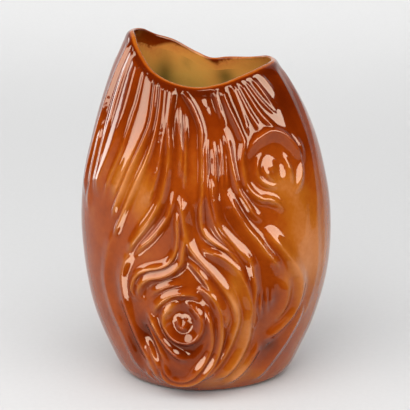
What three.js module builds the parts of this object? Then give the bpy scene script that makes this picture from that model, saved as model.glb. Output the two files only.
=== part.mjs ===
// A vase in the shape of a weathered log, in glazed earthenware. All sizes in mm.
// +Z is up, the front with the knots faces -Y, and the vase stands on Z = 0.
// The hollow body is made of two moulded halves that meet at the side seams.
import * as THREE from "three";

// Driving sizes
const vaseHeight = 195;
const bellyWidth = 139.2;
const bellyDepth = 102.4;
const wallThickness = 4.4;
const lipThickness = 3.4;
const jointGap = 0.3;
const linerThickness = 0.9;
const linerBelowLip = 3.5;
const footWidth = 76;
const footDepth = 55;
const footHeight = 3;
const footRingWidth = 7;
const wallAboveTable = 1;
const floorThickness = 5;
const floorInset = 3;
const grainRelief = 1.3;

// How finely the surfaces are cut
const frontColumns = 72;
const frontRows = 38;
const backColumns = 50;
const backRows = 30;
const linerColumns = 58;
const innerRows = 12;
const lipRows = 4;
const footColumns = 64;
const finestSpread = 2.6;

// Outline of the smooth body under the grain: part of the height, part of the half width,
// part of the half depth, and how far the middle shifts sideways as a part of the half width.
const outline = [
  [0.000, 0.585, 0.575, 0],
  [0.008, 0.640, 0.630, 0],
  [0.020, 0.680, 0.665, 0],
  [0.040, 0.722, 0.708, 0],
  [0.077, 0.770, 0.757, 0],
  [0.150, 0.859, 0.848, 0],
  [0.225, 0.925, 0.918, 0],
  [0.300, 0.968, 0.967, 0.004],
  [0.370, 0.991, 0.992, 0.004],
  [0.450, 1.000, 1.000, 0],
  [0.535, 0.987, 0.980, -0.004],
  [0.615, 0.951, 0.938, -0.011],
  [0.690, 0.899, 0.883, -0.013],
  [0.755, 0.842, 0.830, -0.023],
  [0.810, 0.782, 0.775, -0.037],
  [0.860, 0.716, 0.719, -0.057],
  [0.902, 0.651, 0.664, -0.079],
  [0.943, 0.582, 0.615, -0.096],
  [0.985, 0.511, 0.566, -0.109],
  [1.030, 0.402, 0.449, -0.109],
];

// How far the lip stays below the highest point, by angle round the vase in degrees.
// 0 is the front, 90 the right side, 180 the back and -90 the left side.
const lipDrop = [
  [-180, 17.5],
  [-164, 10.5],
  [-146, 6.5],
  [-125, 2],
  [-90, 0.3],
  [-68, 1.7],
  [-54, 6],
  [-43, 11.3],
  [-30, 18],
  [-15, 22.8],
  [0, 24.7],
  [15, 23.2],
  [30, 20.4],
  [57, 16.8],
  [90, 16],
  [111, 16.2],
  [137, 19.2],
  [158, 20.4],
  [170, 21.3],
  [180, 17.5],
];

// Strands of wood grain on the front. Each line has the height off the wall (a groove is negative),
// the spread to the left and to the right of a strand that runs down, and the points it runs
// through, as [angle round the vase in degrees, height in mm].
const frontStrands = [
  // left shoulder and the long strands that run down the left side
  [1.2, 2.2, 2.2, [[-60, 187], [-62, 175], [-67, 164], [-71, 145], [-73, 120], [-75, 101]]],
  [1.8, 3.5, 3, [[-47, 185], [-52, 170], [-57, 156], [-61, 138], [-61, 111], [-66, 83], [-68, 62]]],
  [2.4, 6, 2.2, [[-36, 180], [-37, 163], [-41, 150], [-44, 138], [-48, 120], [-50, 107]]],
  [2.2, 2.6, 3, [[-28, 178], [-28, 166], [-29, 153], [-32, 139], [-38, 124], [-46, 101]]],
  [2.2, 3, 2.6, [[-25, 175], [-22, 165], [-24, 151], [-29, 133], [-37, 109], [-46, 86], [-51, 60]]],
  [2, 3, 3, [[-51, 66], [-50, 50], [-46, 32], [-41, 19], [-38, 10]]],
  [3, 4, 4, [[-14, 171], [-17, 160], [-18, 145], [-17, 125], [-22, 105], [-30, 92], [-38, 79], [-41, 66]]],
  [2.4, 3.4, 3.4, [[-41, 68], [-39, 54], [-34, 39], [-29, 28], [-24, 19]]],
  [2.6, 4, 3, [[-13, 144], [-12, 125], [-15, 109], [-21, 95], [-31, 84], [-37, 72], [-36, 57], [-28, 52]]],
  [-1, 1.8, 1.8, [[-69, 184], [-69, 165], [-73, 151], [-74, 126]]],
  [-1, 1.8, 1.8, [[-50, 181], [-53, 167], [-57, 150], [-57, 123]]],
  [-1.2, 2, 2.4, [[-31, 175], [-30, 160], [-33, 143], [-36, 136]]],
  [-2.2, 2.6, 2.2, [[-19, 154], [-20, 135], [-21, 117], [-28, 99]]],
  // middle: the narrow cleft with fine strands on both sides of it
  [1.6, 2, 1.6, [[-12, 160], [-11, 145], [-11, 130], [-12, 114]]],
  [1.6, 1.6, 2, [[-10, 158], [-9, 145], [-8, 119]]],
  [2, 3, 1.8, [[-7, 165], [-4, 159], [-1, 147], [-2, 128]]],
  [1.6, 2.6, 2.6, [[12, 169], [10, 159], [12, 145], [12, 128], [17, 112], [24, 103], [29, 90]]],
  [1.6, 2, 2, [[2, 145], [2, 130], [1, 112], [5, 96], [11, 85], [16, 78]]],
  [1.6, 2, 2, [[6, 145], [8, 128], [9, 109], [15, 93], [22, 80]]],
  [2, 3, 2.6, [[15, 170], [18, 161], [20, 146], [18, 130], [22, 117], [31, 104]]],
  [2.2, 4, 3.5, [[12, 126], [15, 116], [21, 100], [29, 85], [34, 78]]],
  [1.8, 3, 3, [[9, 116], [15, 101], [23, 88], [30, 75]]],
  [-2.4, 2, 2, [[1, 151], [-1, 132], [-1, 107]]],
  [-1.4, 2.6, 2.6, [[1, 147], [5, 148], [9, 147]]],
  // strands that fan out from the lip to the small upper knot, and its rings
  [1.4, 2.2, 2.2, [[22, 164], [24, 152], [25, 143]]],
  [1.4, 2.2, 2.2, [[26, 169], [29, 156], [33, 145]]],
  [1.4, 2.2, 2.2, [[31, 172], [33, 159], [42, 145]]],
  [1.2, 2.2, 2.2, [[40, 174], [44, 160], [47, 155]]],
  [2.4, 3.5, 3.5, [[20, 128], [21, 136], [27, 143], [36, 145], [45, 142], [51, 132], [48, 120], [42, 114]]],
  [1.6, 2.4, 2.4, [[29, 139], [25, 131], [27, 122], [37, 120]]],
  [1.8, 2.4, 3, [[20, 133], [21, 122], [25, 116], [32, 112], [36, 106]]],
  [1.4, 3, 3, [[51, 146], [54, 132], [54, 116], [51, 106]]],
  [1.2, 3, 3, [[69, 177], [65, 160], [64, 140], [61, 110], [58, 80], [56, 40]]],
  // ridge that arches over the large lower knot, and the strands to the right of it
  [3, 3.5, 4.5, [[-2, 110], [-1, 97], [7, 88], [14, 76], [20, 58], [22, 40], [18, 22], [5, 12]]],
  [1.4, 2.6, 2.2, [[25, 68], [26, 57], [28, 45]]],
  [1.8, 3, 3, [[29, 90], [34, 78], [38, 61], [35, 43]]],
  [1.8, 3, 3.5, [[35, 90], [42, 73], [46, 58], [42, 43], [32, 34], [26, 30]]],
  [1.8, 3, 3, [[29, 34], [22, 20], [14, 11], [6, 5]]],
  [1.8, 3, 3, [[52, 51], [46, 33], [37, 18], [28, 7]]],
  [-2, 2.2, 2.2, [[22, 76], [24, 58], [25, 42]]],
  // rings, hooked roll and lips of the large lower knot
  [2.6, 3, 3, [[-11, 116], [-9, 95], [-3, 83], [5, 72], [12, 58], [14, 46], [12, 33], [7, 24]]],
  [1.8, 2.4, 2.4, [[-7, 85], [1, 74], [9, 62], [11, 50], [10, 40]]],
  [2.2, 2.6, 2.6, [[-5, 64], [1, 65], [5, 55], [6, 38], [1, 24], [-6, 15], [-16, 11], [-24, 18], [-25, 25]]],
  [2.6, 3, 3, [[-11, 111], [-12, 90], [-16, 80], [-23, 75], [-30, 72], [-33, 63]]],
  [2.6, 3, 2.4, [[-10, 102], [-9, 88], [-13, 76], [-21, 71], [-28, 68], [-32, 60]]],
  [1.8, 2.4, 2.4, [[-26, 58], [-21, 65], [-14, 67], [-7, 66]]],
  [1.8, 2.4, 2.4, [[-23, 47], [-22, 55], [-15, 62], [-6, 63], [0, 57]]],
  [2.4, 3, 3, [[-28, 52], [-23, 41], [-14, 29], [-7, 29], [-1, 38], [0, 46]]],
  [1.8, 2.6, 2.6, [[-11, 57], [-5, 54], [-3, 47], [-6, 40], [-13, 38], [-18, 44], [-17, 52], [-11, 57]]],
  [1.8, 2.4, 2.4, [[-21, 28], [-19, 17], [-12, 14], [-5, 19], [1, 33]]],
  [2.2, 3, 3, [[-27, 25], [-24, 13], [-21, 4]]],
  [-2.4, 2.6, 2.6, [[-7, 89], [-9, 78], [-16, 70], [-26, 65], [-30, 60]]],
  [-2, 2.6, 2.6, [[-44, 55], [-41, 38], [-36, 21]]],
  [-2, 2.6, 2.6, [[-32, 46], [-26, 34], [-22, 24]]],
];

// Broad swells and hollows: [angle, height, spread round, spread up, how far out], in mm but the angle.
const swells = [
  // the lower knot stands out as a burl, widest low down, with a bowl in its middle
  [-9, 17, 27, 13, 8],
  [-4, 44, 25, 22, 6],
  [-11, 50, 10, 10, -3.5],
  // the full right side of the belly, and the low dome of the upper knot with its bowl
  [34, 74, 26, 24, 4.5],
  [34, 131, 15, 15, 1.4],
  [38, 131, 8, 8, -1.8],
];

// The back has two plain knots, with long wavy strands that part round them.
const backKnots = [
  [-158, 118, 15],
  [146, 58, 17],
];
const backStrandCount = 13;
const backStrandHeight = 1.9;

const clay = { color: 0xc98d62, roughness: 0.9, metalness: 0 };
const rustGlaze = { color: 0x8f3a12, roughness: 0.16, metalness: 0 };
const ochreGlaze = { color: 0xb4742c, roughness: 0.22, metalness: 0 };

const radians = Math.PI / 180;
const floorTop = footHeight + jointGap + floorThickness;

// Value at x of a smooth line through rows of [x, value, ...]; column picks the value.
function smoothAt(rows, x, column = 1) {
  let i = 0;
  while (i < rows.length - 2 && x > rows[i + 1][0]) i += 1;
  const slope = (k) => {
    const a = rows[Math.max(k - 1, 0)];
    const b = rows[Math.min(k + 1, rows.length - 1)];
    return (b[column] - a[column]) / (b[0] - a[0]);
  };
  const step = rows[i + 1][0] - rows[i][0];
  const t = THREE.MathUtils.clamp((x - rows[i][0]) / step, 0, 1);
  const start = rows[i][column] * (1 + 2 * t) * (1 - t) ** 2 + slope(i) * step * t * (1 - t) ** 2;
  const end = rows[i + 1][column] * t * t * (3 - 2 * t) + slope(i + 1) * step * t * t * (t - 1);
  return start + end;
}

// Half width, half depth and sideways shift of the smooth body at a height.
function bodyAt(z) {
  const part = z / vaseHeight;
  return {
    halfWidth: smoothAt(outline, part, 1) * bellyWidth / 2,
    halfDepth: smoothAt(outline, part, 2) * bellyDepth / 2,
    shift: smoothAt(outline, part, 3) * bellyWidth / 2,
  };
}

function bodyPoint(angle, z, inset) {
  const body = bodyAt(z);
  return new THREE.Vector3(
    body.shift + (body.halfWidth - inset) * Math.sin(angle),
    -(body.halfDepth - inset) * Math.cos(angle),
    z,
  );
}

function bodyNormal(angle, z) {
  const round = bodyPoint(angle + 0.01, z, 0).sub(bodyPoint(angle - 0.01, z, 0));
  const up = bodyPoint(angle, z + 1, 0).sub(bodyPoint(angle, z - 1, 0));
  return round.cross(up).normalize();
}

function lipHeight(angle) {
  const degrees = THREE.MathUtils.euclideanModulo(angle / radians + 180, 360) - 180;
  return vaseHeight - smoothAt(lipDrop, degrees);
}

// The wavy strands of the back, in the same form as those of the front.
function backStrands() {
  const made = [];
  for (let k = 0; k < backStrandCount; k += 1) {
    const start = 100 + (160 * k) / (backStrandCount - 1);
    const path = [];
    for (let z = 178; z >= 12; z -= 12) {
      let degrees = start + 3 * Math.sin(z / 21 + 1.9 * k) + 2 * Math.sin(z / 9 + k);
      for (const [knotAngle, knotHeight, size] of backKnots) {
        const aside = degrees - THREE.MathUtils.euclideanModulo(knotAngle, 360);
        const far = Math.hypot(aside / 10, (z - knotHeight) / size);
        degrees += Math.sign(aside) * 9 * Math.exp(-far * far);
      }
      path.push([degrees, z]);
    }
    made.push([backStrandHeight * (0.75 + 0.25 * Math.sin(2.3 * k)), 3.6, 3.2, path]);
  }
  for (const [knotAngle, knotHeight, size] of backKnots) {
    for (const part of [0.45, 0.85]) {
      const path = [];
      for (let turn = 0; turn <= 360; turn += 30) {
        path.push([
          THREE.MathUtils.euclideanModulo(knotAngle, 360) + part * size * 0.75 * Math.sin(turn * radians),
          knotHeight + part * size * Math.cos(turn * radians),
        ]);
      }
      made.push([backStrandHeight, 3, 3, path]);
    }
  }
  return made;
}

const strands = [...frontStrands, ...backStrands()].map(([height, left, right, path]) => {
  const points = path.map(([degrees, z]) => new THREE.Vector3(degrees, z, 0));
  const line = new THREE.CatmullRomCurve3(points, false, "centripetal");
  return { height, left, right, line: line.getPoints(4 * points.length) };
});

// Height of one strand at a place on the wall. It stands highest on its line, falls away on both
// sides in a hollow curve, and fades out at its two ends.
function strandHeight(strand, degrees, z, roundScale) {
  let nearest = Infinity;
  let side = 0;
  let along = 0;
  const last = strand.line.length - 1;
  for (let i = 0; i < last; i += 1) {
    const a = strand.line[i];
    const b = strand.line[i + 1];
    const turn = THREE.MathUtils.euclideanModulo(degrees - a.x + 180, 360) - 180;
    const across = [(b.x - a.x) * roundScale, b.y - a.y];
    const reach = [turn * roundScale, z - a.y];
    const length = across[0] ** 2 + across[1] ** 2;
    const t = THREE.MathUtils.clamp((reach[0] * across[0] + reach[1] * across[1]) / length, 0, 1);
    const away = Math.hypot(reach[0] - t * across[0], reach[1] - t * across[1]);
    if (away < nearest) {
      nearest = away;
      side = across[0] * reach[1] - across[1] * reach[0];
      along = (i + t) / last;
    }
  }
  const spread = Math.max(side < 0 ? strand.left : strand.right, finestSpread);
  const ends = THREE.MathUtils.smoothstep(Math.min(along, 1 - along), -0.02, 0.12);
  const rounding = 0.7;
  const fall = Math.hypot(nearest, rounding) - rounding;
  return Math.abs(strand.height) * ends * Math.exp(-1.7 * fall / spread);
}

// How far the grain stands off the smooth body. Strands that meet don't add up: the higher one wins.
function grainHeight(angle, z) {
  const body = bodyAt(z);
  const degrees = angle / radians;
  const roundScale = radians * Math.hypot(body.halfWidth * Math.cos(angle), body.halfDepth * Math.sin(angle));
  let raised = 1;
  let sunk = 1;
  for (const strand of strands) {
    const height = strandHeight(strand, degrees, z, roundScale);
    if (strand.height > 0) raised += Math.exp(1.6 * height) - 1;
    else sunk += Math.exp(1.6 * height) - 1;
  }
  let swell = 0;
  for (const [middle, middleHeight, spreadRound, spreadUp, out] of swells) {
    const turn = THREE.MathUtils.euclideanModulo(degrees - middle + 180, 360) - 180;
    swell += out * Math.exp(-((turn * roundScale / spreadRound) ** 2) - ((z - middleHeight) / spreadUp) ** 2);
  }
  const fadeLow = THREE.MathUtils.smoothstep(z, -2, 10);
  const fadeHigh = THREE.MathUtils.smoothstep(lipHeight(angle) - z, 1, 7);
  const grain = (Math.log(raised) - Math.log(sunk)) / 1.6;
  return fadeHigh * (fadeLow * (grainRelief * grain - 0.6) + swell);
}

// A closed skin over a grid of points: rings[i][j] is point j of a loop, and loops follow one another.
// With capped ends each end loop is filled by its own flat outline, else the last loop meets the first.
function skin(rings, capOutline) {
  const count = rings.length;
  const loop = rings[0].length;
  const positions = rings.flat().flatMap((p) => [p.x, p.y, p.z]);
  const index = [];
  const rows = capOutline ? count - 1 : count;
  for (let i = 0; i < rows; i += 1) {
    for (let j = 0; j < loop; j += 1) {
      const a = i * loop + j;
      const b = i * loop + ((j + 1) % loop);
      const c = ((i + 1) % count) * loop + j;
      const d = ((i + 1) % count) * loop + ((j + 1) % loop);
      index.push(a, c, b, b, c, d);
    }
  }
  if (capOutline) {
    for (const i of [0, count - 1]) {
      const outline = rings[i].map(capOutline);
      const inOrder = THREE.ShapeUtils.isClockWise(outline) === (i > 0);
      for (const face of THREE.ShapeUtils.triangulateShape(outline, [])) {
        const corners = face.map((j) => i * loop + j);
        index.push(...(inOrder ? corners : corners.reverse()));
      }
    }
  }
  const geometry = new THREE.BufferGeometry();
  geometry.setAttribute("position", new THREE.Float32BufferAttribute(positions, 3));
  geometry.setIndex(index);
  geometry.computeVertexNormals();
  return geometry;
}

// The inner face runs at an even thickness inside the smooth body and turns in over the floor.
// Row 0 is at the floor, the last row just under the lip; extra moves it further into the hollow.
function innerPoint(angle, row, extra) {
  if (row === 0) {
    return footPoint(angle, floorInset - jointGap + extra, floorTop + extra);
  }
  const highest = lipHeight(angle) - linerBelowLip;
  const z = THREE.MathUtils.lerp(floorTop + 4, highest, (row - 1) / (innerRows - 1));
  const nearLip = THREE.MathUtils.smoothstep(z, highest - 15, highest);
  const thickness = THREE.MathUtils.lerp(wallThickness, lipThickness, nearLip);
  return bodyPoint(angle, z + 0.4 * extra * (row === 1), thickness + extra);
}

function footPoint(angle, inset, z) {
  const across = (footWidth / 2 - inset) * Math.sin(angle);
  return new THREE.Vector3(across, -(footDepth / 2 - inset) * Math.cos(angle), z);
}

// One loop round the cut wall: up the outside, over the lip, down the inside, round the foot ring.
function wallSection(angle, outerRows) {
  const lipRadius = lipThickness / 2;
  const outerTop = lipHeight(angle) - lipRadius;
  const loop = [];
  for (let i = 0; i <= outerRows; i += 1) {
    const z = THREE.MathUtils.lerp(wallAboveTable, outerTop, i / outerRows);
    const grain = bodyNormal(angle, z).multiplyScalar(grainHeight(angle, z));
    const point = bodyPoint(angle, z, 0).add(grain);
    point.z = Math.max(point.z, wallAboveTable);
    loop.push(point);
  }
  for (let i = 1; i <= lipRows; i += 1) {
    const turn = (Math.PI * i) / lipRows;
    const z = outerTop + lipRadius * Math.sin(turn);
    const inset = lipRadius * (1 - Math.cos(turn));
    loop.push(bodyPoint(angle, Math.min(z, outerTop + lipRadius), inset));
  }
  for (let row = innerRows; row >= 0; row -= 1) loop.push(innerPoint(angle, row, 0));
  loop.push(footPoint(angle, floorInset - jointGap, footHeight + jointGap));
  loop.push(footPoint(angle, -jointGap, footHeight + jointGap));
  loop.push(footPoint(angle, -jointGap, wallAboveTable));
  return loop;
}

// Half of the wall, from one side seam to the other, with half the joint gap left at each seam.
function wallHalf(middleAngle, columns, rows) {
  const loops = [];
  for (let j = 0; j <= columns; j += 1) {
    const angle = middleAngle + Math.PI * (j / columns - 0.5);
    const loop = wallSection(angle, rows);
    if (j === 0 || j === columns) {
      for (const point of loop) point.y = -Math.cos(middleAngle) * jointGap / 2;
    }
    loops.push(loop);
  }
  return skin(loops, (point) => new THREE.Vector2(point.x, point.z));
}

// The glaze coat inside: a thin cup that lines the floor and the inner face.
function linerCup() {
  const loops = [];
  const around = (row, extra) => {
    const loop = [];
    for (let j = 0; j < linerColumns; j += 1) {
      loop.push(innerPoint((2 * Math.PI * j) / linerColumns, row, extra));
    }
    return loop;
  };
  for (let row = 0; row <= innerRows; row += 1) loops.push(around(row, jointGap + linerThickness));
  for (let row = innerRows; row >= 0; row -= 1) loops.push(around(row, jointGap));
  return skin(loops, (point) => new THREE.Vector2(point.x, point.y));
}

// A flat ellipse raised to a height, with an elliptical hole if the ring has a width.
function ellipsePlate(inset, ringWidth, height) {
  const shape = new THREE.Shape();
  shape.absellipse(0, 0, footWidth / 2 - inset, footDepth / 2 - inset, 0, 2 * Math.PI);
  if (ringWidth > 0) {
    const hole = new THREE.Path();
    const within = inset + ringWidth;
    hole.absellipse(0, 0, footWidth / 2 - within, footDepth / 2 - within, 0, 2 * Math.PI);
    shape.holes.push(hole);
  }
  return new THREE.ExtrudeGeometry(shape, {
    depth: height,
    bevelEnabled: false,
    curveSegments: footColumns,
  });
}

function piece(name, geometry, finish) {
  const mesh = new THREE.Mesh(geometry, new THREE.MeshStandardMaterial(finish));
  mesh.name = name;
  return mesh;
}

const vase = new THREE.Group();
vase.name = "log_vase";
vase.add(piece("front_wall", wallHalf(0, frontColumns, frontRows), rustGlaze));
vase.add(piece("back_wall", wallHalf(Math.PI, backColumns, backRows), rustGlaze));

const floorSlab = piece("floor_slab", ellipsePlate(floorInset, 0, floorThickness), clay);
floorSlab.position.z = footHeight + jointGap;
vase.add(floorSlab);

vase.add(piece("foot_ring", ellipsePlate(0, footRingWidth, footHeight), clay));
vase.add(piece("liner_glaze", linerCup(), ochreGlaze));

// The middle of the whole part's outline goes to X = Y = 0.
const middle = new THREE.Box3().setFromObject(vase, true).getCenter(new THREE.Vector3());
vase.position.set(-middle.x, -middle.y, 0);

export default vase;
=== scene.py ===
import math
import bpy
import numpy as np
from mathutils import Matrix, Vector


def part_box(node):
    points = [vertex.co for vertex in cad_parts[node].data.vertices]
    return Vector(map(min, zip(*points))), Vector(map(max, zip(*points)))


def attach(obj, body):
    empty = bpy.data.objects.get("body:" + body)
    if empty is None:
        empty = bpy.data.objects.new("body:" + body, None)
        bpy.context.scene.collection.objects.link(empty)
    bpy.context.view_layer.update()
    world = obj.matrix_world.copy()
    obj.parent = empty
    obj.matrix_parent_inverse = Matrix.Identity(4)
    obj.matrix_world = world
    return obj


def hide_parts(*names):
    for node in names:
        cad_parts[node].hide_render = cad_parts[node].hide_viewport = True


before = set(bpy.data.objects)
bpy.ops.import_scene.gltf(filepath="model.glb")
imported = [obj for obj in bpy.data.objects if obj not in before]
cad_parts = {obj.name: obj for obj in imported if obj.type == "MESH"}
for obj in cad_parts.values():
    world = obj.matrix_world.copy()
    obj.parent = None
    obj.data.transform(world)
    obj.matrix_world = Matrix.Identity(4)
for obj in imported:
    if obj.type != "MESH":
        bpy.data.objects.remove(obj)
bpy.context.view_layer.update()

# Log vase in glazed earthenware: a moulded body with carved wood grain, rust glaze outside and ochre inside.
# Shapes are worked out in mm from the middle of the foot and turned to metres where a mesh is made.

ringLow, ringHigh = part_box("foot_ring")
footMiddle = [(ringLow[i] + ringHigh[i]) / 2 * 1000 for i in range(2)]  # where the foot's middle lies, mm
print("frame loaded, foot middle at", [round(v, 2) for v in footMiddle])

body = {
    "height": 195,
    "bellyWidth": 139.2,
    "bellyDepth": 102.4,
    "wallThickness": 4.4,
    "lipThickness": 3.4,
    "lipTaper": 15,  # the wall thins towards the lip over this height
    "bottomHeight": 1,  # the glazed wall stops this far above the table
    "frontColumns": 400,  # the front carries the fine grain, so it gets the finer mesh
    "backColumns": 190,
    "rows": 330,
    "lipRows": 12,  # rows over the lip, half of them outside
}

# part of the height, part of the half width, part of the half depth, sideways shift as part of the half width
outline = [
    (0.000, 0.585, 0.575, 0), (0.008, 0.640, 0.630, 0), (0.020, 0.680, 0.665, 0), (0.040, 0.722, 0.708, 0),
    (0.077, 0.770, 0.757, 0), (0.150, 0.859, 0.848, 0), (0.225, 0.925, 0.918, 0),
    (0.300, 0.968, 0.967, 0.004), (0.370, 0.991, 0.992, 0.004), (0.450, 1.000, 1.000, 0),
    (0.535, 0.987, 0.980, -0.004), (0.615, 0.951, 0.938, -0.011), (0.690, 0.899, 0.883, -0.013),
    (0.755, 0.842, 0.830, -0.023), (0.810, 0.782, 0.775, -0.037), (0.860, 0.716, 0.719, -0.057),
    (0.902, 0.651, 0.664, -0.079), (0.943, 0.582, 0.615, -0.096), (0.985, 0.511, 0.566, -0.109),
    (1.030, 0.402, 0.449, -0.109),
]

# how far the lip stays below the highest point, by angle in degrees: 0 front, 90 right, -90 left, 180 back
lipDrop = [
    (-180, 17.5), (-164, 10.5), (-146, 6.5), (-125, 2), (-90, 0.3), (-68, 1.7), (-54, 6), (-43, 11.3),
    (-30, 18), (-15, 22.8), (0, 24.7), (15, 23.2), (30, 20.4), (57, 16.8), (90, 16), (111, 16.2),
    (137, 19.2), (158, 20.4), (170, 21.3), (180, 17.5),
]


def smoothAt(rows, x, column=1):
    # value of a smooth line through the rows at every x
    table = np.array(rows, float)
    xs, ys = table[:, 0], table[:, column]
    slopes = np.empty(len(xs))
    slopes[1:-1] = (ys[2:] - ys[:-2]) / (xs[2:] - xs[:-2])
    slopes[0] = (ys[1] - ys[0]) / (xs[1] - xs[0])
    slopes[-1] = (ys[-1] - ys[-2]) / (xs[-1] - xs[-2])
    i = np.clip(np.searchsorted(xs, x, side="right") - 1, 0, len(xs) - 2)
    step = xs[i + 1] - xs[i]
    t = np.clip((x - xs[i]) / step, 0, 1)
    start = ys[i] * (1 + 2 * t) * (1 - t) ** 2 + slopes[i] * step * t * (1 - t) ** 2
    end = ys[i + 1] * t * t * (3 - 2 * t) + slopes[i + 1] * step * t * t * (t - 1)
    return start + end


def smoothStep(x, low, high):
    t = np.clip((x - low) / (high - low), 0, 1)
    return t * t * (3 - 2 * t)


def bodySizes(z):
    part = z / body["height"]
    halfWidth = smoothAt(outline, part, 1) * body["bellyWidth"] / 2
    halfDepth = smoothAt(outline, part, 2) * body["bellyDepth"] / 2
    shift = smoothAt(outline, part, 3) * body["bellyWidth"] / 2
    return halfWidth, halfDepth, shift


def bodyPoint(degrees, z, inset=0):
    halfWidth, halfDepth, shift = bodySizes(z)
    angle = np.radians(degrees)
    across = shift + (halfWidth - inset) * np.sin(angle)
    return np.stack([across, -(halfDepth - inset) * np.cos(angle), z], -1)


def bodyNormal(degrees, z):
    # straight out of the wall, from four points close by
    around = bodyPoint(degrees + 0.5, z) - bodyPoint(degrees - 0.5, z)
    up = bodyPoint(degrees, z + 1) - bodyPoint(degrees, z - 1)
    normal = np.cross(around, up)
    return normal / np.linalg.norm(normal, axis=-1, keepdims=True)


def mmPerDegree(degrees, z):
    # how far one degree reaches along the wall
    halfWidth, halfDepth = bodySizes(z)[:2]
    angle = np.radians(degrees)
    return math.pi / 180 * np.hypot(halfWidth * np.cos(angle), halfDepth * np.sin(angle))


def wrapped(degrees):
    # the same direction, between -180 and 180 degrees
    return (degrees + 180) % 360 - 180


def lipHeight(degrees):
    return body["height"] - smoothAt(lipDrop, wrapped(degrees))


carving = {
    "relief": 1,  # scales all the strands
    "crestRounding": 0.5,
    "ground": 0.6,  # the wall between the strands lies this far in
    "deepest": -2.6,  # no hollow goes further into the wall than this
    "deepestSharpness": 1.5,  # how sharply deeper ones are cut off, per mm
    "meeting": 2.6,  # how sharply two strands meet, per mm
    "flankFoot": 5,  # how sharply a flank ends on the wall
    "reach": 3.2,  # a strand is worked out this many flank widths to each side
    "endFade": (-1, 11),  # mm from its end over which a strand rises
    "lipStart": 165,  # a strand that starts above this runs on under the lip
    "footFade": (-2, 10),  # mm above the table over which the grain sets in
    "lipFade": (1, 5.5),  # mm below the lip
    "evening": 14,  # rounds of softening; a crest is what stands above the evened wall
}

# Each strand: height off the wall in mm (a groove is negative), width of its left and right flank in mm as
# seen when it runs down, and the points it runs through as (angle in degrees, height in mm).
shoulderStrands = [
    (1.8, 4.0, 4.0, [(-62, 190), (-68, 165), (-70, 150), (-72, 135), (-73, 120), (-74, 105)]),
    (1.5, 4.0, 1.6, [(-52, 190), (-57, 165), (-58, 150), (-60, 135), (-60, 124), (-62, 108)]),
    (1.5, 4.5, 3.0, [(-66, 150), (-66, 138), (-66, 125), (-66, 112), (-68, 98)]),
    (2.6, 7.0, 5.5, [(-42, 188), (-46, 160), (-49, 146), (-52, 134), (-56, 122), (-60, 109)]),
    (1.4, 1.8, 2.0, [(-35, 184), (-38, 163), (-40, 155), (-43, 142), (-46, 132), (-50, 120), (-53, 108)]),
    (1.8, 6.5, 1.4, [(-29, 182), (-30, 165), (-31, 152), (-35, 140), (-39, 130), (-43, 119), (-47, 108)]),
    (2.2, 1.6, 2.4, [(-26, 182), (-27, 165), (-28, 152), (-32, 140), (-36, 130), (-40, 118), (-44, 106),
                     (-47, 98)]),
    (2.2, 1.8, 2.2, [(-22, 180), (-23, 160), (-25, 146), (-28, 134), (-31, 125), (-35, 114), (-38, 106),
                     (-42, 96), (-46, 87)]),
    (1.4, 4.5, 3.5, [(-44, 95), (-48, 84), (-51, 74), (-53, 63), (-52, 54), (-50, 45), (-47, 35), (-44, 26),
                     (-41, 18), (-38, 10)]),
    (1.8, 4.5, 1.5, [(-18, 178), (-20, 160), (-20, 148), (-21, 138), (-22, 128), (-24, 118), (-27, 108)]),
    (2.6, 3.4, 2.2, [(-14, 178), (-17, 160), (-18, 150), (-17, 136), (-18, 122), (-20, 112), (-24, 103),
                     (-29, 95), (-34, 87), (-38, 79)]),
    (2.0, 4.0, 3.5, [(-34, 87), (-38, 78), (-41, 69), (-41, 60), (-40, 50), (-38, 40), (-35, 31), (-30, 23),
                     (-27, 15), (-24, 7)]),
    (1.6, 1.8, 1.8, [(-13, 120), (-16, 106), (-20, 98), (-25, 91), (-30, 86), (-34, 80)]),
    (-1.3, 4.0, 4.0, [(-45, 54), (-43, 43), (-41, 33), (-38, 24), (-35, 18)]),
]

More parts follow.
